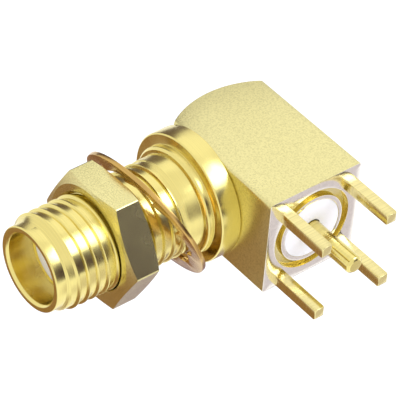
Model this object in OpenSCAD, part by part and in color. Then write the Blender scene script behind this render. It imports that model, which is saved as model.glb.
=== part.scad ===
// Right-angle bulkhead SMA jack for a circuit board, with its panel nut and lock washer.
// The barrel axis lies along Y with the mouth towards -Y, the tails point along +X, and the
// origin is on the barrel axis in the flange's front face, the one that seats on the panel.

/* [Barrel] */
// Major diameter of the coupling thread, 1/4-36
thread_d = 6.35; // [6:0.05:7]
// Length from the flange's front face to the mouth
barrel_len = 11.2; // [8.5:0.1:16]
// Diameter of the plain lead in front of the thread
lead_d = 5.6; // [5.3:0.05:5.9]
// Length of the plain lead
lead_len = 0.7; // [0.4:0.05:1.5]
// Diameter of the counterbore that takes the mating plug
mouth_d = 4.6; // [4.5:0.05:4.8]
// Depth of the counterbore, from the mouth to the reference plane
mouth_depth = 1.9; // [1.5:0.05:2.5]
// Chamfer round the mouth, inside
mouth_chamfer = 0.15; // [0.05:0.01:0.3]
// Chamfer round the mouth, outside
lead_chamfer = 0.06; // [0.02:0.01:0.15]

/* [Flange] */
// Diameter of the flange
flange_d = 8.6; // [7.8:0.1:12]
// Thickness of the flange
flange_t = 1.5; // [1:0.1:3]
// Chamfer on both rims of the flange
flange_chamfer = 0.08; // [0.03:0.01:0.3]
// Diameter of the pilot collar in front of the flange
collar_d = 7.15; // [6.8:0.05:7.6]
// Length of the pilot collar
collar_len = 0.55; // [0.3:0.05:1]
// Chamfer on the collar's front rim
collar_chamfer = 0.15; // [0.05:0.01:0.25]
// Diameter of the spigot behind the flange, pressed into the block
spigot_d = 5.6; // [5:0.1:6.2]
// Length of the spigot
spigot_len = 1.2; // [0.8:0.1:1.3]

/* [Elbow block] */
// Width of the block across Y and Z
block_w = 7.1; // [6.5:0.1:9]
// Distance from the barrel axis to the block's pin face
pin_face = 6.7; // [5.5:0.05:10]
// Distance from the barrel axis to the crown of the block's round back
back_reach = 3.7; // [3.4:0.05:5]
// Radius of the round back
back_r = 6.7; // [4.5:0.1:15]
// Chamfer along the block's four long edges
block_chamfer = 0.22; // [0.05:0.01:0.4]
// Inner radius of the ring groove in the pin face
groove_in_r = 2.4; // [2.3:0.02:2.5]
// Outer radius of the ring groove in the pin face
groove_out_r = 2.9; // [2.6:0.02:2.98]
// Depth of the ring groove
groove_depth = 0.5; // [0.2:0.05:1]

/* [Tails] */
// Spacing of the four ground legs, both ways
leg_pitch = 5.08; // [5:0.02:5.6]
// Width of a square leg
leg_w = 0.75; // [0.6:0.01:1]
// Length of the legs below the pin face
leg_len = 4.1; // [2:0.1:8]
// Chamfer on the tips of the legs
leg_chamfer = 0.1; // [0.03:0.01:0.2]
// Diameter of the centre tail pin outside the block
tail_d = 1.2; // [0.8:0.02:1.26]
// Length of the centre tail pin below the pin face
tail_len = 4.1; // [2:0.1:8]
// Chamfer on the tip of the centre tail pin
tail_chamfer = 0.16; // [0.05:0.01:0.3]

/* [Centre line] */
// Diameter of the front insulator
insulator_d = 4.1; // [4:0.05:4.3]
// Diameter of the rear insulator
rear_insulator_d = 4.2; // [4:0.05:4.5]
// Length of the rear insulator
rear_insulator_len = 4.2; // [2:0.1:5]
// Diameter of the centre contact and of the tail pin inside the block
contact_d = 1.27; // [1.2:0.01:1.4]
// Diameter of the socket in the centre contact
socket_d = 0.95; // [0.92:0.01:1]
// Depth of the socket
socket_depth = 2.9; // [2.2:0.1:4]
// Width of the two crossed slots in the socket's wall
slot_w = 0.14; // [0.08:0.01:0.2]
// Length of the slots
slot_len = 1.9; // [1:0.1:2.2]
// Diameter of the tail pin's neck, soldered in the contact's cross hole
neck_d = 0.8; // [0.5:0.02:0.9]
// Diameter at the bottom of the groove that keys the tail pin in the rear insulator
key_d = 0.76; // [0.6:0.02:0.8]
// Length of that groove
key_len = 0.8; // [0.6:0.05:1.2]
// Chamfer at the socket's entry
entry_chamfer = 0.08; // [0.03:0.01:0.12]

/* [Nut] */
// Nut width across flats
nut_af = 7.9; // [7.8:0.05:9]
// Nut thickness
nut_t = 2.1; // [1.5:0.1:4]
// Gap along the barrel between the flange's front face and the nut
nut_gap = 4.75; // [4.7:0.05:6.5]
// Turn of the nut about the barrel axis, from a corner along +X
nut_turn = 2; // [-30:1:30]
// Slope of the chamfer on the nut's corners
nut_chamfer_angle = 17; // [10:1:35]
// Diameter of the flat ring left on the nut's faces, as a share of the width across flats
nut_face_share = 0.95; // [0.88:0.01:0.98]
// Countersink at each end of the nut's hole
nut_sink = 0.15; // [0.1:0.05:0.3]

/* [Lock washer] */
// Outer diameter of the lock washer
washer_d = 9.85; // [9.2:0.05:11]
// Thickness of the lock washer
washer_t = 0.3; // [0.2:0.05:0.4]
// Radius inside the washer's flat rim, where the teeth start
rim_in_r = 4; // [3.8:0.05:4.3]
// Radius of the circle through the tips of the teeth
tooth_tip_r = 3.7; // [3.67:0.01:3.85]
// Number of teeth
teeth = 10; // [6:1:14]
// Share of each step that is tooth
tooth_share = 0.66; // [0.4:0.02:0.8]
// Twist of each tooth out of the washer's plane
tooth_twist = 9; // [0:1:12]
// Lean of the loose washer on the barrel
washer_lean = 24; // [0:1:24]
// Turn of the lean about the barrel axis
washer_turn = -10; // [-180:1:180]
// Distance from the flange's front face to the washer's centre
washer_gap = 2.5; // [2.45:0.05:2.65]
// Lift of the loose washer's centre off the barrel axis
washer_lift = 0.12; // [0:0.01:0.14]

/* [Hidden] */
$fn = 96;

// Radial clearance of a pressed pair, and of the nut on the thread
press_gap = 0.01;
thread_gap = 0.04;
// Overshoot of a cut past the face it opens
over = 1;

thread_r = thread_d / 2;
lead_r = lead_d / 2;
mouth_r = mouth_d / 2;
flange_r = flange_d / 2;
collar_r = collar_d / 2;
spigot_r = spigot_d / 2;
insulator_r = insulator_d / 2;
rear_insulator_r = rear_insulator_d / 2;
contact_r = contact_d / 2;
socket_r = socket_d / 2;
neck_r = neck_d / 2;
tail_r = tail_d / 2;
washer_r = washer_d / 2;
bore_r = insulator_r + press_gap;
ref_plane = barrel_len - mouth_depth;
pin_y = flange_t + block_w / 2;
spigot_end = flange_t + spigot_len;
gold = "goldenrod";
white = "ivory";

// Turns a profile of radius against distance in front of the flange into a solid on the barrel
module on_barrel() {
    rotate([90, 0, 0])
        rotate_extrude()
            children();
}

// Turns a profile of radius against X into a solid on the tail pin's axis
module on_tail() {
    translate([0, pin_y, 0])
        rotate([0, 90, 0])
            rotate_extrude()
                children();
}

module threaded_barrel() {
    color(gold)
        on_barrel()
            polygon([
                [bore_r, -spigot_end],
                [spigot_r, -spigot_end],
                [spigot_r, -flange_t],
                [flange_r - flange_chamfer, -flange_t],
                [flange_r, flange_chamfer - flange_t],
                [flange_r, -flange_chamfer],
                [flange_r - flange_chamfer, 0],
                [collar_r, 0],
                [collar_r, collar_len - collar_chamfer],
                [collar_r - collar_chamfer, collar_len],
                [thread_r, collar_len],
                [thread_r, barrel_len - lead_len - (thread_r - lead_r)],
                [lead_r, barrel_len - lead_len],
                [lead_r, barrel_len - lead_chamfer],
                [lead_r - lead_chamfer, barrel_len],
                [mouth_r + mouth_chamfer, barrel_len],
                [mouth_r, barrel_len - mouth_chamfer],
                [mouth_r, ref_plane],
                [bore_r, ref_plane]
            ]);
}

// Outline of the block from above: straight sides, pin face at +X, round back at -X
module block_outline() {
    intersection() {
        translate([-back_reach, flange_t])
            square([back_reach + pin_face, block_w]);
        union() {
            translate([back_r - back_reach, pin_y])
                circle(r = back_r, $fn = 180);
            translate([0, flange_t])
                square([pin_face, block_w]);
        }
    }
}

// A square of side w about the origin with its corners cut by c
module cut_square(w, c) {
    h = w / 2;
    polygon([
        [h - c, -h], [h, c - h], [h, h - c], [h - c, h],
        [c - h, h], [-h, h - c], [-h, c - h], [c - h, -h]
    ]);
}

// Side view of a leg from its root inside the block to its chamfered tip
module leg_side(root) {
    h = leg_w / 2;
    tip = pin_face + leg_len;
    polygon([
        [pin_face - root, -h], [tip - leg_chamfer, -h], [tip, leg_chamfer - h],
        [tip, h - leg_chamfer], [tip - leg_chamfer, h], [pin_face - root, h]
    ]);
}

module leg() {
    root = 0.3;
    intersection() {
        translate([0, 0, -leg_w / 2])
            linear_extrude(leg_w)
                leg_side(root);
        rotate([90, 0, 0])
            translate([0, 0, -leg_w / 2])
                linear_extrude(leg_w)
                    leg_side(root);
    }
}

module elbow_block() {
    length = back_reach + pin_face;
    color(gold)
        difference() {
            union() {
                intersection() {
                    translate([0, 0, -block_w / 2])
                        linear_extrude(block_w)
                            block_outline();
                    translate([-back_reach, pin_y, 0])
                        rotate([90, 0, 90])
                            linear_extrude(length)
                                cut_square(block_w, block_chamfer);
                }
                for (y = [-1, 1], z = [-1, 1])
                    translate([0, pin_y + y * leg_pitch / 2, z * leg_pitch / 2])
                        leg();
            }
            // Bore for the barrel's spigot
            on_barrel()
                polygon([
                    [0, over - flange_t],
                    [spigot_r + press_gap, over - flange_t],
                    [spigot_r + press_gap, -spigot_end],
                    [bore_r, -spigot_end],
                    [bore_r, -pin_y - bore_r],
                    [0, -pin_y - bore_r]
                ]);
            // Bore for the rear insulator, down to the centre contact
            on_tail()
                polygon([
                    [0, -bore_r],
                    [rear_insulator_r + press_gap, -bore_r],
                    [rear_insulator_r + press_gap, pin_face + over],
                    [0, pin_face + over]
                ]);
            // Ring groove that leaves the thin lip staked over the rear insulator
            on_tail()
                translate([groove_in_r, pin_face - groove_depth])
                    square([groove_out_r - groove_in_r, groove_depth + over]);
        }
}

module front_insulator() {
    color(white)
        on_barrel()
            translate([contact_r + press_gap, -spigot_end])
                square([insulator_r - contact_r - press_gap, spigot_end + ref_plane]);
}

module rear_insulator() {
    color(white)
        on_tail()
            translate([contact_r + press_gap, pin_face - rear_insulator_len])
                square([rear_insulator_r - contact_r - press_gap, rear_insulator_len]);
}

module socket_contact() {
    tail_end = -pin_y - contact_r - neck_r;
    color(gold)
        difference() {
            on_barrel()
                polygon([
                    [0, tail_end],
                    [contact_r, tail_end],
                    [contact_r, ref_plane],
                    [socket_r + entry_chamfer, ref_plane],
                    [socket_r, ref_plane - entry_chamfer],
                    [socket_r, ref_plane - socket_depth],
                    [0, ref_plane - socket_depth - socket_r / 2]
                ]);
            for (turn = [0, 90])
                rotate([0, turn, 0])
                    translate([-contact_d, -ref_plane - over, -slot_w / 2])
                        cube([2 * contact_d, slot_len + over, slot_w]);
            // Cross hole for the tail pin's neck
            translate([-contact_d, pin_y, 0])
                rotate([0, 90, 0])
                    cylinder(h = 2 * contact_d, r = neck_r + press_gap);
        }
}

module tail_pin() {
    tip = pin_face + tail_len;
    shoulder = contact_r + press_gap;
    key_end = pin_face - 0.05;
    color(gold)
        on_tail()
            polygon([
                [0, -contact_r],
                [neck_r, -contact_r],
                [neck_r, shoulder],
                [contact_r, shoulder],
                [contact_r, key_end - key_len],
                [key_d / 2, key_end - key_len],
                [key_d / 2, key_end],
                [tail_r, key_end],
                [tail_r, tip - tail_chamfer],
                [tail_r - tail_chamfer, tip],
                [0, tip]
            ]);
}

module hex_nut() {
    corner_r = nut_af / sqrt(3);
    face_r = nut_face_share * nut_af / 2;
    // The chamfer runs on past the corners, so that the corners' edges stay sharp
    reach = corner_r - face_r + 0.2;
    drop = reach * tan(nut_chamfer_angle);
    hole_r = thread_r + thread_gap;
    front = nut_gap + nut_t;
    color(gold)
        difference() {
            intersection() {
                rotate([90, -nut_turn, 0])
                    translate([0, 0, nut_gap])
                        cylinder(h = nut_t, r = corner_r, $fn = 6);
                on_barrel()
                    polygon([
                        [0, nut_gap],
                        [face_r, nut_gap],
                        [face_r + reach, nut_gap + drop],
                        [face_r + reach, front - drop],
                        [face_r, front],
                        [0, front]
                    ]);
            }
            on_barrel()
                polygon([
                    [0, nut_gap - over],
                    [hole_r + nut_sink + over, nut_gap - over],
                    [hole_r, nut_gap + nut_sink],
                    [hole_r, front - nut_sink],
                    [hole_r + nut_sink + over, front + over],
                    [0, front + over]
                ]);
        }
}

// One tooth of the washer, twisted about its own length
module washer_tooth() {
    width = tooth_share * 2 * PI * tooth_tip_r / teeth;
    rotate([tooth_twist, 0, 0])
        translate([tooth_tip_r, -width / 2, -washer_t / 2])
            cube([rim_in_r - tooth_tip_r + washer_t, width, washer_t]);
}

module lock_washer() {
    color(gold)
        translate([0, -washer_gap, washer_lift])
            rotate([0, washer_turn, 0])
                rotate([90 + washer_lean, 0, 0])
                    union() {
                        difference() {
                            translate([0, 0, -washer_t / 2])
                                cylinder(h = washer_t, r = washer_r);
                            translate([0, 0, -washer_t])
                                cylinder(h = 2 * washer_t, r = rim_in_r);
                        }
                        for (k = [0 : teeth - 1])
                            rotate([0, 0, 360 * k / teeth])
                                washer_tooth();
                    }
}

threaded_barrel();
elbow_block();
front_insulator();
rear_insulator();
socket_contact();
tail_pin();
hex_nut();
lock_washer();
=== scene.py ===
import math

import bmesh
import bpy
from mathutils import Matrix, Quaternion, Vector


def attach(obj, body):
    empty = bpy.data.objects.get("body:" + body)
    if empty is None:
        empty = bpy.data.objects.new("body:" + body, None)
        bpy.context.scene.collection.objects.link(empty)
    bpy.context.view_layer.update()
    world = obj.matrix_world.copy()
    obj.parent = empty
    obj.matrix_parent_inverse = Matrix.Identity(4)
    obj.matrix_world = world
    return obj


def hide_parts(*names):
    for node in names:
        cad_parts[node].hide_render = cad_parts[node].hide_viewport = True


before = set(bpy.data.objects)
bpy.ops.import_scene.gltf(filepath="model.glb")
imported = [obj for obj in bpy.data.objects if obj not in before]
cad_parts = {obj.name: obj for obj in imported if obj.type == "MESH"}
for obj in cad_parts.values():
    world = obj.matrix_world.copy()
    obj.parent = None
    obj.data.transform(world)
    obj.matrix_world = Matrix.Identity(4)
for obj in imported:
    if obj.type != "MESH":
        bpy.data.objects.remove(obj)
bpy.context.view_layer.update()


# ---------------------------------------------------------------------------------------------
# Barrel
# One piece turned from brass bar and gold plated: lead, rolled-edge mouth, 1/4-36 thread, plain
# shank, pilot collar, flange and the spigot that is pressed into the block. The mouth faces -Y.
# Radii and distances in front of the flange are in millimetres.

MM = 0.001
STEPS = 128
PITCH = 0.7056
THREAD_R = 3.175
ROOT_R = 3.01
LEAD_R = 2.8
MOUTH = 11.2
REF = 9.3
THREAD_START = 10.5
THREAD_END = 1.5
RUNOUT = 0.3
COLLAR_R = 3.575
COLLAR_END = 0.55
COLLAR_CHAMFER = 0.15
FLANGE_R = 4.3
FLANGE_BACK = 1.5
FLANGE_EDGE = 0.08
SPIGOT_R = 2.6
SPIGOT_END = 2.7
INSIDE_R = 2.06
COUNTERBORE_R = 2.3
MOUTH_CHAMFER = 0.15
MOUTH_EDGE = 0.06
CLOSE = 0.0005
GOLD_BODY = "#ECDB88"


def linear(code):
    """sRGB hex code to a linear colour with alpha."""
    parts = [int(code[i:i + 2], 16) / 255 for i in (1, 3, 5)]
    return [p / 12.92 if p <= 0.04045 else ((p + 0.055) / 1.055) ** 2.4 for p in parts] + [1]


def add(tree, kind, inputs=(), **settings):
    """Adds a node with its settings.

    The inputs pair each socket with a value or with another node's output.
    """
    node = tree.nodes.new(kind)
    for name, value in settings.items():
        setattr(node, name, value)
    for socket, value in dict(inputs).items():
        if isinstance(value, bpy.types.NodeSocket):
            tree.links.new(value, node.inputs[socket])
        else:
            node.inputs[socket].default_value = value
    return node


def new_material(name):
    """An empty material with its output; returns the material, its tree and the output node."""
    material = bpy.data.materials.new(name)
    material.use_nodes = True
    tree = material.node_tree
    tree.nodes.clear()
    return material, tree, tree.nodes.new("ShaderNodeOutputMaterial")


def chain(bm, points, closed):
    """A line of edges through the points, in millimetres."""
    corners = [bm.verts.new(p) for p in points]
    pairs = list(zip(corners, corners[1:]))
    if closed:
        pairs.append((corners[-1], corners[0]))
    return corners + [bm.edges.new(pair) for pair in pairs]


def turn(bm, points, closed, axis=(0, -1, 0), centre=(0, 0, 0), steps=STEPS):
    """Turns a line of points once round an axis."""
    bmesh.ops.spin(bm, geom=chain(bm, points, closed), cent=centre, axis=axis, dvec=(0, 0, 0),
                   angle=2 * math.pi, steps=steps, use_merge=True, use_duplicate=False)


def soften(bm, width, least, segments=2, keep=None):
    """Breaks the edges whose faces turn by more than the least angle, in degrees."""
    edges = [e for e in bm.edges if e.is_manifold
             and least < math.degrees(e.calc_face_angle(0)) < 180
             and (keep is None or keep(e))]
    bmesh.ops.bevel(bm, geom=edges, offset=width, offset_type="OFFSET", affect="EDGES",
                    segments=segments, profile=0.5, material=-1, clamp_overlap=True)


def finish_piece(name, bm, body, nodes, materials, crease=30):
    """Closes and shades a mesh, scales it to metres, and puts it in the node's place."""
    bmesh.ops.remove_doubles(bm, verts=bm.verts, dist=CLOSE)
    bmesh.ops.dissolve_degenerate(bm, dist=0.0002, edges=bm.edges)
    bmesh.ops.recalc_face_normals(bm, faces=bm.faces)
    for face in bm.faces:
        face.smooth = True
    for edge in bm.edges:
        edge.smooth = edge.is_manifold and math.degrees(edge.calc_face_angle(0)) < crease
    bmesh.ops.scale(bm, vec=(MM, MM, MM), verts=bm.verts)
    mesh = bpy.data.meshes.new(name)
    bm.to_mesh(mesh)
    bm.free()
    piece = bpy.data.objects.new(name, mesh)
    bpy.context.collection.objects.link(piece)
    for material in materials:
        mesh.materials.append(material)
    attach(piece, body)
    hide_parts(*nodes)


def helix(bm, crest_r, root_r, low, high, limit, steps=STEPS):
    """A screw thread's surface between two distances; limit(distance, radius) trims its radius.

    The outline of one pitch is carried round and along, each turn meeting the last. A crest
    that is nearer the axis than the root makes the thread of a nut.
    """
    depth = crest_r - root_r
    flank_slope = math.tan(math.radians(30))
    flank = abs(depth) * flank_slope
    crest = PITCH / 8
    worn_and_groove_shade = 0.03
    ease = worn_and_groove_shade * flank_slope
    root = PITCH - crest - 2 * flank
    shoulder_r = crest_r - (worn_and_groove_shade if depth > 0 else -worn_and_groove_shade)
    points = [(root_r, 0), (root_r, root), (shoulder_r, root + flank - ease),
              (crest_r, root + flank + ease * 0.5), (crest_r, root + flank + crest - ease * 0.5),
              (shoulder_r, root + flank + crest + ease), (root_r, PITCH)]
    start = PITCH * math.floor(low / PITCH - 1)
    turns = math.ceil((high - start) / PITCH) + 1
    line = chain(bm, [(r, -start - d, 0) for r, d in points], False)
    old = set(bm.verts) - set(line)
    bmesh.ops.spin(bm, geom=line, cent=(0, 0, 0), axis=(0, -1, 0), dvec=(0, -PITCH / steps, 0),
                   angle=2 * math.pi * turns, steps=steps * turns, use_merge=False,
                   use_duplicate=False)
    for v in set(bm.verts) - old:
        radius = math.hypot(v.co.x, v.co.z)
        ahead = min(max(-v.co.y, low), high)
        wanted = limit(ahead, radius)
        v.co = Vector((v.co.x * wanted / radius, -ahead, v.co.z * wanted / radius))


def barrel_limit(ahead, radius):
    """The thread's ends: the chamfer behind the lead, and the runout into the shank."""
    behind = THREAD_START - ahead
    radius = min(radius, LEAD_R + behind, THREAD_R)
    if behind < 0.2:
        radius = max(radius, LEAD_R - 0.1 * behind)
    rise = max(0, 1 - (ahead - THREAD_END) / RUNOUT)
    return radius + (THREAD_R - radius) * rise


# Points nearer than CLOSE are merged. The spigot is 0.2 mm slimmer in radius than the CAD's,
# and so is its bore, which breaks through the block's round back in the CAD.
bm = bmesh.new()
turn(bm, [(r, -d, 0) for r, d in (
    (THREAD_R, THREAD_END), (THREAD_R, COLLAR_END), (COLLAR_R - COLLAR_CHAMFER, COLLAR_END),
    (COLLAR_R, COLLAR_END - COLLAR_CHAMFER), (COLLAR_R, 0), (FLANGE_R - FLANGE_EDGE, 0),
    (FLANGE_R, -FLANGE_EDGE), (FLANGE_R, FLANGE_EDGE - FLANGE_BACK),
    (FLANGE_R - FLANGE_EDGE, -FLANGE_BACK), (SPIGOT_R, -FLANGE_BACK), (SPIGOT_R, -SPIGOT_END),
    (INSIDE_R, -SPIGOT_END), (INSIDE_R, REF), (COUNTERBORE_R, REF),
    (COUNTERBORE_R, MOUTH - MOUTH_CHAMFER), (COUNTERBORE_R + MOUTH_CHAMFER, MOUTH),
    (LEAD_R - MOUTH_EDGE, MOUTH), (LEAD_R, MOUTH - MOUTH_EDGE), (LEAD_R, THREAD_START))], False)
soften(bm, 0.035, least=30)
helix(bm, THREAD_R, ROOT_R, THREAD_END, THREAD_START, barrel_limit)


# Gold plate over turned brass: a warm metal, satin from the fine rings that the tool leaves
# round the axis, whose grooves are drawn a little darker as painted shade, with a faint dulling
# in patches 1.4 mm wide.
ALONG_RING = 20
PATCHES = 700.0
RELIEF = 0.00001


def turned_gold(name, colour, roughness, ring_mm, ring_depth, axis=1):
    """Gold with tool marks set ring_mm apart along the axis, which is 0 for X and 1 for Y."""
    scale = [ALONG_RING] * 3
    scale[axis] = 1000 / ring_mm
    material, tree, out = new_material(name)
    where = add(tree, "ShaderNodeTexCoord").outputs["Object"]
    across = add(tree, "ShaderNodeMapping", {"Vector": where, "Scale": scale})
    rings = add(tree, "ShaderNodeTexNoise", {"Vector": across.outputs[0], "Scale": 1.0,
                                             "Detail": 3.0, "Roughness": 0.6})
    patches = add(tree, "ShaderNodeTexNoise", {"Vector": where, "Scale": PATCHES,
                                               "Detail": 4.0})
    dull = add(tree, "ShaderNodeMapRange", {"Value": patches.outputs["Fac"], "From Min": 0.35,
                                            "From Max": 0.7, "To Min": roughness * 0.8,
                                            "To Max": roughness * 1.25})
    relief = add(tree, "ShaderNodeBump", {"Height": rings.outputs["Fac"], "Strength": ring_depth,
                                          "Distance": RELIEF})
    # Painted shade: where the rings' bump is lowest, in their grooves, the colour is darkened to
    # 0.86.
    worn_and_groove_shade = add(tree, "ShaderNodeMapRange", {"Value": rings.outputs["Fac"], "From Min": 0.35,
                                            "From Max": 0.6, "To Min": 0.86, "To Max": 1.0})
    shade = add(tree, "ShaderNodeMixRGB", {"Fac": 1.0, "Color1": linear(colour),
                                           "Color2": worn_and_groove_shade.outputs[0]}, blend_type="MULTIPLY")
    gold = add(tree, "ShaderNodeBsdfPrincipled", {
        "Base Color": shade.outputs[0], "Metallic": 1.0, "Roughness": dull.outputs[0],
        "Normal": relief.outputs[0]})
    tree.links.new(gold.outputs[0], out.inputs["Surface"])
    return material


# The rings are 0.05 mm apart, about the feed of a finishing cut.
barrel_gold = turned_gold("gold plated turned brass", GOLD_BODY, 0.23, 0.05, 0.3)
finish_piece("turned_barrel", bm, "jack", ["threaded_barrel"], [barrel_gold])

# ---------------------------------------------------------------------------------------------
# Elbow block
# One piece milled from brass and gold plated: a block with a round back, four square legs left
# standing on its pin face, and a ring groove that leaves a thin lip staked over the insulator.

PIN_FACE = 6.7
PIN_Y = 5.05
HALF = 3.55
BACK = -3.7
BACK_R = 6.7
LEG = 0.75
LEG_PITCH = 5.08
LEG_LEN = 4.1
LEG_ROOT = 0.3
LEG_POINT = 0.1
GROOVE_R = 2.9
GROOVE_DEEP = 0.5
STAKED_R = 2.4
REAR_BORE_R = 2.11
SPIGOT_BORE_R = 2.61
BORE_R = 2.07
BORE_END = 7.12
GOLD_BLOCK = "#E4D999"

bm = bmesh.new()
facing_x = Matrix.Translation((PIN_FACE, PIN_Y, 0)) @ Matrix.Rotation(math.pi / 2, 4, "Y")
outline = bmesh.ops.create_circle(bm, cap_ends=False, radius=1, segments=96, matrix=facing_x)
for v in outline["verts"]:
    reach = max(abs(v.co.y - PIN_Y), abs(v.co.z))
    v.co.y = PIN_Y + (v.co.y - PIN_Y) * HALF / reach
    v.co.z = v.co.z * HALF / reach
rim = list({e for v in outline["verts"] for e in v.link_edges})
groove = bmesh.ops.create_circle(bm, cap_ends=False, radius=GROOVE_R, segments=96,
                                 matrix=facing_x)
ring = list({e for v in groove["verts"] for e in v.link_edges})
bmesh.ops.bridge_loops(bm, edges=rim + ring)


def step(bm, edges, shift, radius=None, was=None):
    """Carries a loop of edges on along X, or to another radius round the pin."""
    grown = bmesh.ops.extrude_edge_only(bm, edges=edges)["geom"]
    verts = [g for g in grown if isinstance(g, bmesh.types.BMVert)]
    for v in verts:
        v.co.x += shift
        if radius:
            v.co.y = PIN_Y + (v.co.y - PIN_Y) * radius / was
            v.co.z *= radius / was
    return [g for g in grown if isinstance(g, bmesh.types.BMEdge)]


ring = step(bm, ring, -GROOVE_DEEP)
ring = step(bm, ring, 0, STAKED_R, GROOVE_R)
ring = step(bm, ring, GROOVE_DEEP)
ring = step(bm, ring, 0, REAR_BORE_R, STAKED_R)
ring = step(bm, ring, -PIN_FACE - BORE_R)
bmesh.ops.holes_fill(bm, edges=ring, sides=0)
back = step(bm, rim, BACK - PIN_FACE)
level = [e for e in back if all(abs(abs(v.co.z) - HALF) < 1e-4 for v in e.verts)]
filled = bmesh.ops.grid_fill(bm, edges=level, mat_nr=0, use_smooth=False,
                             use_interp_simple=True)
for v in {v for f in filled["faces"] for v in f.verts}:
    v.co.x = BACK + BACK_R - math.sqrt(BACK_R ** 2 - (v.co.y - PIN_Y) ** 2)
bmesh.ops.recalc_face_normals(bm, faces=bm.faces)


def along_x(e):
    """The block's four long edges, from the pin face to the back."""
    return abs(e.verts[0].co.x - e.verts[1].co.x) > 5


soften(bm, 0.2, least=60, segments=3, keep=along_x)
soften(bm, 0.04, least=40)


def cut_or_join(base, other, how):
    """Cuts one closed mesh by another, or joins them, and gives back the result's bmesh."""
    objects = []
    for source in (base, other):
        mesh = bpy.data.meshes.new("work")
        bmesh.ops.recalc_face_normals(source, faces=source.faces)
        source.to_mesh(mesh)
        source.free()
        objects.append(bpy.data.objects.new("work", mesh))
        bpy.context.collection.objects.link(objects[-1])
    knife = objects[0].modifiers.new("cut", "BOOLEAN")
    knife.object = objects[1]
    knife.operation = how
    knife.solver = "EXACT"
    bpy.context.view_layer.update()
    shaped = objects[0].evaluated_get(bpy.context.evaluated_depsgraph_get()).to_mesh()
    result = bmesh.new()
    result.from_mesh(shaped)
    for o in objects:
        mesh = o.data
        bpy.data.objects.remove(o)
        bpy.data.meshes.remove(mesh)
    return result


bore = bmesh.new()
turn(bore, [(r, -d, 0) for r, d in (
    (0, 0), (SPIGOT_BORE_R, 0), (SPIGOT_BORE_R, -SPIGOT_END), (BORE_R, -SPIGOT_END),
    (BORE_R, -BORE_END), (0, -BORE_END))], False, steps=96)
bmesh.ops.remove_doubles(bore, verts=bore.verts, dist=CLOSE)
bm = cut_or_join(bm, bore, "DIFFERENCE")

for y in (-1, 1):
    for z in (-1, 1):
        leg = bmesh.new()
        bmesh.ops.create_cube(leg, size=1)
        bmesh.ops.scale(leg, vec=(LEG_LEN + LEG_ROOT, LEG, LEG), verts=leg.verts)
        bmesh.ops.translate(leg, verts=leg.verts, vec=(
            PIN_FACE + (LEG_LEN - LEG_ROOT) / 2, PIN_Y + y * LEG_PITCH / 2, z * LEG_PITCH / 2))
        tip = [e for e in leg.edges if all(v.co.x > PIN_FACE + 1 for v in e.verts)]
        bmesh.ops.bevel(leg, geom=tip, offset=LEG_POINT, offset_type="OFFSET", affect="EDGES",
                        segments=2, profile=0.5, material=-1)
        soften(leg, 0.03, least=60)
        bm = cut_or_join(bm, leg, "UNION")

# Gold plate over milled brass: satin, with a fine speckle where the plate has grown in grains,
# whose low spots are drawn darker as painted shade, and a slow change of gloss in clouds about
# 4 mm wide.
CLOUDS = 260.0


def milled_gold(name, colour, roughness, grain_mm, grain_depth, spread):
    """Gold with grains grain_mm wide, whose low spots darken the colour by up to the spread:
    painted shade in the pits.
    """
    material, tree, out = new_material(name)
    where = add(tree, "ShaderNodeTexCoord").outputs["Object"]
    grains = add(tree, "ShaderNodeTexNoise", {"Vector": where, "Scale": 1000 / grain_mm,
                                              "Detail": 3.0, "Roughness": 0.7})
    clouds = add(tree, "ShaderNodeTexNoise", {"Vector": where, "Scale": CLOUDS,
                                              "Detail": 2.0})
    # Painted shade: where the grains' bump is lowest, in the pits, the colour is darkened by up
    # to the spread.
    grain_pit_shade = add(tree, "ShaderNodeMapRange", {"Value": grains.outputs["Fac"], "From Min": 0.36,
                                            "From Max": 0.56, "To Min": 1 - spread,
                                            "To Max": 1.0})
    shade = add(tree, "ShaderNodeMixRGB", {"Fac": 1.0, "Color1": linear(colour),
                                           "Color2": grain_pit_shade.outputs[0]}, blend_type="MULTIPLY")
    dull = add(tree, "ShaderNodeMapRange", {"Value": clouds.outputs["Fac"], "From Min": 0.3,
                                            "From Max": 0.7, "To Min": roughness * 0.9,
                                            "To Max": roughness * 1.15})
    relief = add(tree, "ShaderNodeBump", {"Height": grains.outputs["Fac"],
                                          "Strength": grain_depth, "Distance": RELIEF})
    gold = add(tree, "ShaderNodeBsdfPrincipled", {
        "Base Color": shade.outputs[0], "Metallic": 1.0, "Roughness": dull.outputs[0],
        "Normal": relief.outputs[0]})
    tree.links.new(gold.outputs[0], out.inputs["Surface"])
    return material


# The grains are drawn 0.11 mm wide, coarser than real ones of a few hundredths, so that they
# show, with painted shade in their low spots. The pin face, which is faced last, has a smoother
# skin with faint grains, and its colour is drawn nearly white, a painted highlight of the bright
# floor it mirrors. The sawn legs and the groove have marks across them, also drawn coarser than
# they are.
block_gold = milled_gold("gold plated milled brass", GOLD_BLOCK, 0.3, 0.11, 0.8, 0.2)
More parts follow.
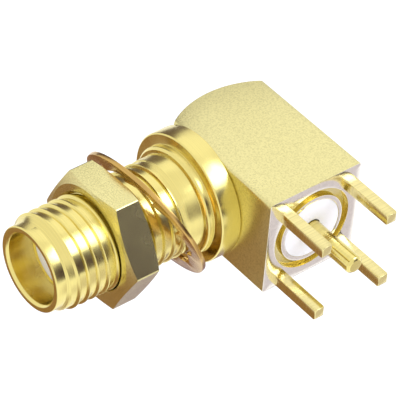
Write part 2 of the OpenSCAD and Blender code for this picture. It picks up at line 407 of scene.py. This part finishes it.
# Painted highlight: the pin face's base colour #EFE8DC is paler than gold, standing in for the
# bright reflection it catches.
faced_gold_with_painted_highlight = milled_gold("gold plated faced brass with painted highlight", "#EFE8DC", 0.16, 0.2, 0.1, 0.08)
leg_gold = turned_gold("gold plated sawn brass", "#EADB98", 0.2, 0.13, 0.6, 0)
MILLED, FACED, SAWN = 0, 1, 2
for face in bm.faces:
    centre = face.calc_center_median()
    ahead = centre.x - PIN_FACE
    # The groove's facets at 45 degrees keep the finish of the block.
    diagonal = abs(face.normal.dot(Vector((0, 1, 1)))) >= 1.4
    in_groove = (ahead > -GROOVE_DEEP - 0.05 and not diagonal
                 and math.hypot(centre.y - PIN_Y, centre.z) < GROOVE_R + 0.1)
    if abs(ahead) < 0.01:
        face.material_index = FACED
    elif ahead > 0 or in_groove:
        face.material_index = SAWN
    else:
        face.material_index = MILLED
finish_piece("milled_block", bm, "jack", ["elbow_block"],
             [block_gold, faced_gold_with_painted_highlight, leg_gold])

# ---------------------------------------------------------------------------------------------
# Insulators
# Two sleeves turned from white fluoropolymer: one fills the barrel, its face seen in the mouth,
# the other fills the block round the tail pin, flush with the pin face.

WHITE = "#F1EEF2"
AXIS_X = (1, 0, 0)
PIN_AXIS = (0, PIN_Y, 0)
SLEEVE_BORE_R = 0.645
FRONT_SLEEVE_R = 2.05
REAR_SLEEVE_R = 2.1
REAR_SLEEVE_LEN = 4.2

# White fluoropolymer, turned: milky and waxy, with light going a little way in, and a faint
# mottle about 1 mm wide in its gloss.
ptfe, tree, out = new_material("white fluoropolymer")
where = add(tree, "ShaderNodeTexCoord").outputs["Object"]
mottle = add(tree, "ShaderNodeTexNoise", {"Vector": where, "Scale": 900.0, "Detail": 4.0})
rough = add(tree, "ShaderNodeMapRange", {"Value": mottle.outputs["Fac"], "To Min": 0.35,
                                         "To Max": 0.5})
relief = add(tree, "ShaderNodeBump", {"Height": mottle.outputs["Fac"], "Strength": 0.2,
                                      "Distance": RELIEF})
wax = add(tree, "ShaderNodeBsdfPrincipled", {
    "Base Color": linear(WHITE), "Roughness": rough.outputs[0], "IOR": 1.35,
    "Subsurface Weight": 0.15, "Subsurface Radius": (0.0006, 0.0005, 0.0005),
    "Normal": relief.outputs[0]})
tree.links.new(wax.outputs[0], out.inputs["Surface"])

bm = bmesh.new()
turn(bm, [(SLEEVE_BORE_R, SPIGOT_END, 0), (FRONT_SLEEVE_R, SPIGOT_END, 0),
          (FRONT_SLEEVE_R, -REF, 0), (SLEEVE_BORE_R, -REF, 0)], True, steps=96)
soften(bm, 0.03, least=60)
finish_piece("front_insulator_sleeve", bm, "jack", ["front_insulator"], [ptfe])

bm = bmesh.new()
sleeve_start = PIN_FACE - REAR_SLEEVE_LEN
turn(bm, [(sleeve_start, PIN_Y, SLEEVE_BORE_R), (PIN_FACE, PIN_Y, SLEEVE_BORE_R),
          (PIN_FACE, PIN_Y, REAR_SLEEVE_R), (sleeve_start, PIN_Y, REAR_SLEEVE_R)],
     True, AXIS_X, PIN_AXIS, steps=96)
soften(bm, 0.03, least=60)
finish_piece("rear_insulator_sleeve", bm, "jack", ["rear_insulator"], [ptfe])

# ---------------------------------------------------------------------------------------------
# Socket contact
# Turned from beryllium copper and gold plated: a tube with four slots that spring on the plug's
# pin, and a solid rear end cross-drilled for the tail pin.

CONTACT_R = 0.635
SOCKET_R = 0.475
SOCKET_EDGE = 0.08
SOCKET_DEEP = 2.9
DRILL_POINT = 3.14
CONTACT_END = PIN_Y + 1.035
CROSS_HOLE_R = 0.41
SLOT = 0.14
SLOT_LEN = 1.9
SAW_WIDTH = 2.5

bm = bmesh.new()
turn(bm, [(r, -d, 0) for r, d in (
    (0, -CONTACT_END), (CONTACT_R, -CONTACT_END), (CONTACT_R, REF),
    (SOCKET_R + SOCKET_EDGE, REF), (SOCKET_R, REF - SOCKET_EDGE),
    (SOCKET_R, REF - SOCKET_DEEP), (0, REF - DRILL_POINT))], False, steps=96)
bmesh.ops.remove_doubles(bm, verts=bm.verts, dist=CLOSE)
for turned_by in (0, math.pi / 2):
    saw = bmesh.new()
    bmesh.ops.create_cube(saw, size=1)
    bmesh.ops.scale(saw, vec=(SAW_WIDTH, 2 * SLOT_LEN, SLOT), verts=saw.verts)
    bmesh.ops.translate(saw, verts=saw.verts, vec=(0, -REF, 0))
    bmesh.ops.rotate(saw, verts=saw.verts, matrix=Matrix.Rotation(turned_by, 3, "Y"))
    bm = cut_or_join(bm, saw, "DIFFERENCE")
drill = bmesh.new()
across = Matrix.Translation((0, PIN_Y, 0)) @ Matrix.Rotation(math.pi / 2, 4, "Y")
bmesh.ops.create_cone(drill, cap_ends=True, segments=48, radius1=CROSS_HOLE_R,
                      radius2=CROSS_HOLE_R, depth=3, matrix=across)
bm = cut_or_join(bm, drill, "DIFFERENCE")
# Redder and smoother than the body, as thin gold over copper is, with rings 0.04 mm apart.
contact_gold = turned_gold("gold plated contact", "#EBD08A", 0.12, 0.04, 0.15)
finish_piece("slotted_contact", bm, "jack", ["socket_contact"], [contact_gold])

# ---------------------------------------------------------------------------------------------
# Tail pin
# Turned brass pin, gold plated. Its neck is soldered in the contact's cross hole, a groove runs
# round it just inside the pin face, and its outer end is chamfered to find its hole.

TAIL_LEN = 4.1
NECK_R = 0.4
NECK_END = 0.645
KEY_START = PIN_FACE - 0.85
KEY_END = PIN_FACE - 0.05
KEY_R = 0.38
PIN_R = 0.6
POINT_LEN = 0.16
POINT_R = 0.44

bm = bmesh.new()
turn(bm, [(x, PIN_Y, r) for x, r in (
    (-CONTACT_R, 0), (-CONTACT_R, NECK_R), (NECK_END, NECK_R), (NECK_END, CONTACT_R),
    (KEY_START, CONTACT_R), (KEY_START, KEY_R), (KEY_END, KEY_R), (KEY_END, PIN_R),
    (PIN_FACE + TAIL_LEN - POINT_LEN, PIN_R), (PIN_FACE + TAIL_LEN, POINT_R),
    (PIN_FACE + TAIL_LEN, 0))], False, AXIS_X, PIN_AXIS, steps=64)
bmesh.ops.remove_doubles(bm, verts=bm.verts, dist=CLOSE)
soften(bm, 0.025, least=35)
# Bright, with the tool's rings drawn 0.12 mm apart, about twice the real feed, so they show.
pin_gold = turned_gold("gold plated turned pin", GOLD_BODY, 0.16, 0.12, 0.6, 0)
finish_piece("centre_tail_pin", bm, "jack", ["tail_pin"], [pin_gold])

# ---------------------------------------------------------------------------------------------
# Hex nut
# Panel nut turned and milled from hexagon brass bar, gold plated. Both ends are chamfered, and
# the hole is countersunk and threaded to run on the barrel.

NUT_BACK = 4.75
NUT_FRONT = 6.85
FLATS = 7.9
FACE_R = 3.7525
NUT_TURN = 2
CHAMFER_SLOPE = math.tan(math.radians(17))
CHAMFER_DEEP = 0.5
NUT_CREST = 3.18
NUT_ROOT = 3.25
SINK = 0.12
NUT_STEPS = 120


def nut_limit(ahead, radius):
    """The thread's ends, brought to the edges of the two countersinks."""
    ends = min(ahead - NUT_BACK, NUT_FRONT - ahead) - SINK
    return min(radius, NUT_CREST + ends)


bm = bmesh.new()
turn(bm, [(r, -d, 0) for r, d in (
    (NUT_CREST, NUT_BACK + SINK), (NUT_CREST + SINK, NUT_BACK), (FACE_R, NUT_BACK),
    (FLATS, NUT_BACK + CHAMFER_DEEP), (FLATS, NUT_FRONT - CHAMFER_DEEP), (FACE_R, NUT_FRONT),
    (NUT_CREST + SINK, NUT_FRONT), (NUT_CREST, NUT_FRONT - SINK))], False, steps=NUT_STEPS)
for v in bm.verts:
    if math.hypot(v.co.x, v.co.z) > FACE_R + 0.1:
        bearing = math.atan2(v.co.z, v.co.x)
        off = bearing % (math.pi / 3) - math.pi / 6
        reach = FLATS / 2 / math.cos(off)
        drop = (reach - FACE_R) * CHAMFER_SLOPE
        ahead = NUT_FRONT - drop if -v.co.y > (NUT_FRONT + NUT_BACK) / 2 else NUT_BACK + drop
        v.co = Vector((reach * math.cos(bearing), -ahead, reach * math.sin(bearing)))
bmesh.ops.recalc_face_normals(bm, faces=bm.faces)
soften(bm, 0.07, least=40, keep=lambda e: abs(e.verts[0].co.y - e.verts[1].co.y) > 1)
bmesh.ops.rotate(bm, verts=bm.verts, cent=(0, 0, 0),
                 matrix=Matrix.Rotation(math.radians(-NUT_TURN), 3, "Y"))
helix(bm, NUT_CREST, NUT_ROOT, NUT_BACK + SINK, NUT_FRONT - SINK, nut_limit, NUT_STEPS)
# Satin like the block, a little smoother, with the same grains drawn coarse and the same painted
# shade in their low spots.
nut_gold = milled_gold("gold plated hexagon bar", "#E7DC9A", 0.25, 0.1, 0.8, 0.2)
finish_piece("panel_nut", bm, "nut", ["hex_nut"], [nut_gold], crease=12)

# ---------------------------------------------------------------------------------------------
# Lock washer
# Stamped from bronze sheet and gold plated, with ten internal teeth twisted out of its plane.
# It hangs loose on the barrel, leaning with its top against the nut.

WASHER_R = 4.925
RIM_IN = 4.0
TOOTH_TIP = 3.7
SHEET = 0.3
TEETH = 10
TOOTH_SHARE = 0.33
PER_TOOTH = 12
TWIST = 9
LEAN = 24
LEAN_TURN = -10
WASHER_AT = (0, -2.5, 0.12)

bm = bmesh.new()
turn(bm, [(WASHER_R, -SHEET / 2, 0), (WASHER_R, SHEET / 2, 0), (RIM_IN, SHEET / 2, 0),
          (RIM_IN, -SHEET / 2, 0)], True, steps=TEETH * PER_TOOTH)
bmesh.ops.recalc_face_normals(bm, faces=bm.faces)
inside = [f for f in bm.faces if abs(math.hypot(*f.calc_center_median().xz) - RIM_IN) < 0.05]
step_angle = 2 * math.pi / TEETH


def tooth_of(face):
    """Which tooth this inside face carries, or None in the gaps."""
    centre = face.calc_center_median()
    turns = math.atan2(centre.z, centre.x) / step_angle
    k = round(turns)
    return k % TEETH if abs(turns - k) < TOOTH_SHARE else None


groups = [[f for f in inside if tooth_of(f) == k] for k in range(TEETH)]
for k, faces in enumerate(groups):
    grown = bmesh.ops.extrude_face_region(bm, geom=faces)["geom"]
    verts = [g for g in grown if isinstance(g, bmesh.types.BMVert)]
    bmesh.ops.delete(bm, geom=faces, context="FACES_ONLY")
    for v in verts:
        radius = math.hypot(v.co.x, v.co.z)
        v.co.x *= TOOTH_TIP / radius
        v.co.z *= TOOTH_TIP / radius
    middle = Vector((math.cos(k * step_angle), 0, math.sin(k * step_angle)))
    bmesh.ops.rotate(bm, verts=verts, cent=(0, 0, 0),
                     matrix=Matrix.Rotation(math.radians(TWIST), 3, middle))
soften(bm, 0.04, least=50)
lean = (Matrix.Translation(WASHER_AT)
        @ Matrix.Rotation(math.radians(LEAN_TURN), 4, "Y")
        @ Matrix.Rotation(math.radians(LEAN), 4, "X"))
bmesh.ops.transform(bm, matrix=lean, verts=bm.verts)
# Duller than the rest, and drawn darker and redder: painted shade and painted brown reflection
# of the nut, as it sits in the gap between nut and flange. The roll's marks are drawn 0.3 mm
# apart, coarser than they are, so that they show.
# Painted shade: base colour #CFA962 is darker and redder than the other gold, for the shade and
# brown reflection between nut and flange.
washer_gold_painted_shade = turned_gold("gold plated bronze sheet in painted shade", "#CFA962", 0.24, 0.3, 0.3)
finish_piece("toothed_washer", bm, "washer", ["lock_washer"], [washer_gold_painted_shade])

# ---------------------------------------------------------------------------------------------
# Studio
# A pale floor below the part, a white sky, two soft lights, and round glowing cards that only
# the metal mirrors: painted reflections, which give the gold its darker and warmer tones. The
# camera looks down on the mouth, the nut and the pin face.

FLOOR_Z = -0.05
LAMP_COLOUR = (0.74, 0.82, 1.0)
EYE = Vector((98.265, -85.445, 116.472)) * MM
AIM = Vector((0.877, 1.004, 0.014)) * MM
ROLL = 4.83
LENS = 257.5

floor_bm = bmesh.new()
bmesh.ops.create_grid(floor_bm, x_segments=1, y_segments=1, size=1.5,
                      matrix=Matrix.Translation((0, 0, FLOOR_Z)))
floor_mesh = bpy.data.meshes.new("floor")
floor_bm.to_mesh(floor_mesh)
floor_bm.free()
floor = bpy.data.objects.new("floor", floor_mesh)
bpy.context.collection.objects.link(floor)
pale, tree, out = new_material("pale floor")
matt = add(tree, "ShaderNodeBsdfPrincipled", {"Base Color": linear("#FBFBFB"), "Roughness": 0.9})
tree.links.new(matt.outputs[0], out.inputs["Surface"])
floor_mesh.materials.append(pale)


def face_part(holder, azimuth, elevation, distance):
    """Puts a light or a card at a bearing and a height, in degrees, and turns it to the part."""
    a, e = math.radians(azimuth), math.radians(elevation)
    holder.location = Vector((
        math.cos(e) * math.cos(a), math.cos(e) * math.sin(a), math.sin(e))) * distance
    holder.rotation_mode = "QUATERNION"
    holder.rotation_quaternion = (-holder.location).to_track_quat("-Z", "Y")
    bpy.context.collection.objects.link(holder)


def softbox(name, azimuth, elevation, distance, size, power):
    """A square light, in metres and watts."""
    lamp = bpy.data.lights.new(name, "AREA")
    lamp.shape = "SQUARE"
    lamp.size = size
    lamp.energy = power
    lamp.color = LAMP_COLOUR
    face_part(bpy.data.objects.new(name, lamp), azimuth, elevation, distance)


def card(name, azimuth, elevation, distance, radius, colour):
    """A round glowing card with a soft rim that the metal mirrors and nothing else sees: a
    painted reflection.
    """
    sheet = bmesh.new()
    bmesh.ops.create_grid(sheet, x_segments=1, y_segments=1, size=radius)
    mesh = bpy.data.meshes.new(name)
    sheet.to_mesh(mesh)
    sheet.free()
    paper, tree, out = new_material(name)
    where = add(tree, "ShaderNodeTexCoord").outputs["Object"]
    spread = add(tree, "ShaderNodeVectorMath", {0: where}, operation="LENGTH")
    rim = add(tree, "ShaderNodeMapRange", {"Value": spread.outputs["Value"],
                                           "From Min": radius * 0.55, "From Max": radius,
                                           "To Min": 0.0, "To Max": 1.0},
              interpolation_type="SMOOTHSTEP")
    tone = add(tree, "ShaderNodeEmission", {"Color": linear(colour), "Strength": 1.0})
    clear = add(tree, "ShaderNodeBsdfTransparent")
    both = add(tree, "ShaderNodeMixShader", {0: rim.outputs[0], 1: tone.outputs[0],
                                             2: clear.outputs[0]})
    tree.links.new(both.outputs[0], out.inputs["Surface"])
    mesh.materials.append(paper)
    holder = bpy.data.objects.new(name, mesh)
    holder.visible_camera = False
    holder.visible_diffuse = False
    holder.visible_shadow = False
    face_part(holder, azimuth, elevation, distance)


softbox("side light", 45, 45, 0.5, 0.28, 1.1)
softbox("back light", 138, 50, 0.5, 0.4, 0.12)
card("dark card", 30, 11, 0.3, 0.17, "#4A3A50")
card("grey card", 158, -3, 0.3, 0.15, "#7A7078")
card("near card", 170, 24, 0.024, 0.010, "#75686C")
card("lilac card", 36, -30, 0.055, 0.025, "#E4DEE4")
card("under card", -128, -60, 0.05, 0.055, "#A07E5E")
card("low card", 112, -56, 0.05, 0.035, "#AC9CB0")

world = bpy.data.worlds.new("studio")
bpy.context.scene.world = world
world.use_nodes = True
tree = world.node_tree
tree.nodes.clear()
out = tree.nodes.new("ShaderNodeOutputWorld")
sky = add(tree, "ShaderNodeBackground", {"Color": linear("#FFFFFF"), "Strength": 1.06})
tree.links.new(sky.outputs[0], out.inputs["Surface"])

camera = bpy.data.cameras.new("camera")
camera.sensor_width = 36
camera.lens = LENS
camera.clip_start = 0.01
eye = bpy.data.objects.new("camera", camera)
bpy.context.collection.objects.link(eye)
eye.location = EYE
eye.rotation_mode = "QUATERNION"
eye.rotation_quaternion = ((AIM - EYE).to_track_quat("-Z", "Y")
                           @ Quaternion((0, 0, 1), math.radians(ROLL)))
bpy.context.scene.camera = eye
bpy.context.scene.view_settings.view_transform = "Standard"
